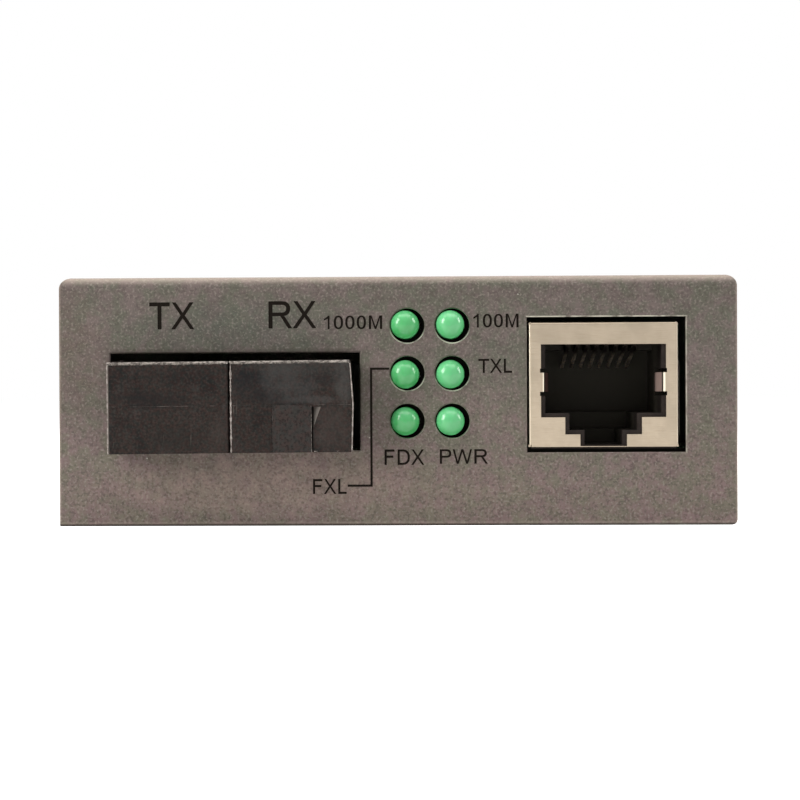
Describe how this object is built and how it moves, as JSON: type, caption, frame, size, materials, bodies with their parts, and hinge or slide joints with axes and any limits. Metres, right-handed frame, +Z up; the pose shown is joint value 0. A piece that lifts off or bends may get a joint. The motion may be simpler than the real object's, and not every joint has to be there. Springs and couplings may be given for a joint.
{
  "type": "fibre media converter",
  "caption": "Small folded-steel box that joins a copper network socket to a duplex optical port, with dust plugs, status lamps and a rear power inlet.",
  "frame": {"origin": "centre of the case's underside, on the surface it rests on; the dust plugs stand 3 mm in front of the case", "axes": "+Z up, -Y the way the port panel faces, +X to the right of a person who looks at the port panel"},
  "size_m": [0.071, 0.0971, 0.0261],
  "materials": {
    "painted_steel": "fine-textured powder coat, semi-matt",
    "zinc_screw": "zinc-plated, lightly brushed",
    "brass_standoff": "turned, bright",
    "board_laminate": "solder-masked laminate, satin",
    "chip_epoxy": "moulded epoxy, matt",
    "tinned_lead": "tin-plated",
    "can_metal": "drawn, satin",
    "ferrite": "fired ferrite, matt",
    "ceramic_part": "fired, matt",
    "black_moulding": "glass-filled nylon, satin",
    "plug_moulding": "soft moulded, satin with handling marks",
    "nickel_shield": "nickel-plated, fine grain",
    "gold_contact": "gold-plated, bright",
    "white_sleeve": "ground zirconia",
    "lamp_resin": "tinted diffusing epoxy"
  },
  "bodies": {
    "converter": {"upper_cover": "painted_steel", "base_plate": "painted_steel", "cover_screws": "zinc_screw", "board_standoffs": "brass_standoff", "board_screws": "zinc_screw", "circuit_board": "board_laminate", "converter_chip": "chip_epoxy", "converter_chip_leads": "tinned_lead", "memory_chip": "chip_epoxy", "memory_chip_leads": "tinned_lead", "magnetics_module": "chip_epoxy", "magnetics_module_leads": "tinned_lead", "crystal_can": "can_metal", "storage_capacitors": "can_metal", "power_inductor": "ferrite", "voltage_regulator": "chip_epoxy", "surge_diode": "chip_epoxy", "small_components": "ceramic_part", "jack_housing": "black_moulding", "jack_contact_carrier": "black_moulding", "jack_contacts": "gold_contact", "jack_shield": "nickel_shield", "transceiver_housing": "black_moulding", "transceiver_lid": "black_moulding", "transceiver_pins": "tinned_lead", "transmit_latch_clip": "black_moulding", "receive_latch_clip": "black_moulding", "transmit_receptacle": "black_moulding", "receive_receptacle": "black_moulding", "transmit_ferrule_sleeve": "white_sleeve", "receive_ferrule_sleeve": "white_sleeve", "gigabit_lamp": "lamp_resin", "fast_rate_lamp": "lamp_resin", "fibre_link_lamp": "lamp_resin", "copper_link_lamp": "lamp_resin", "full_duplex_lamp": "lamp_resin", "power_lamp": "lamp_resin", "lamp_holder": "black_moulding", "lamp_leads": "tinned_lead", "power_jack_housing": "black_moulding", "power_jack_pin": "tinned_lead", "power_jack_spring": "tinned_lead"},
    "transmit_plug": {"transmit_dust_plug": "plug_moulding"},
    "receive_plug": {"receive_dust_plug": "plug_moulding"}
  },
  "joints": [
    {"name": "transmit_plug_slide", "type": "slide", "parent": "converter", "child": "transmit_plug", "axis": [0, -1, 0], "range_m": [0, 0.013]},
    {"name": "receive_plug_slide", "type": "slide", "parent": "converter", "child": "receive_plug", "axis": [0, -1, 0], "range_m": [0, 0.013]}
  ]
}
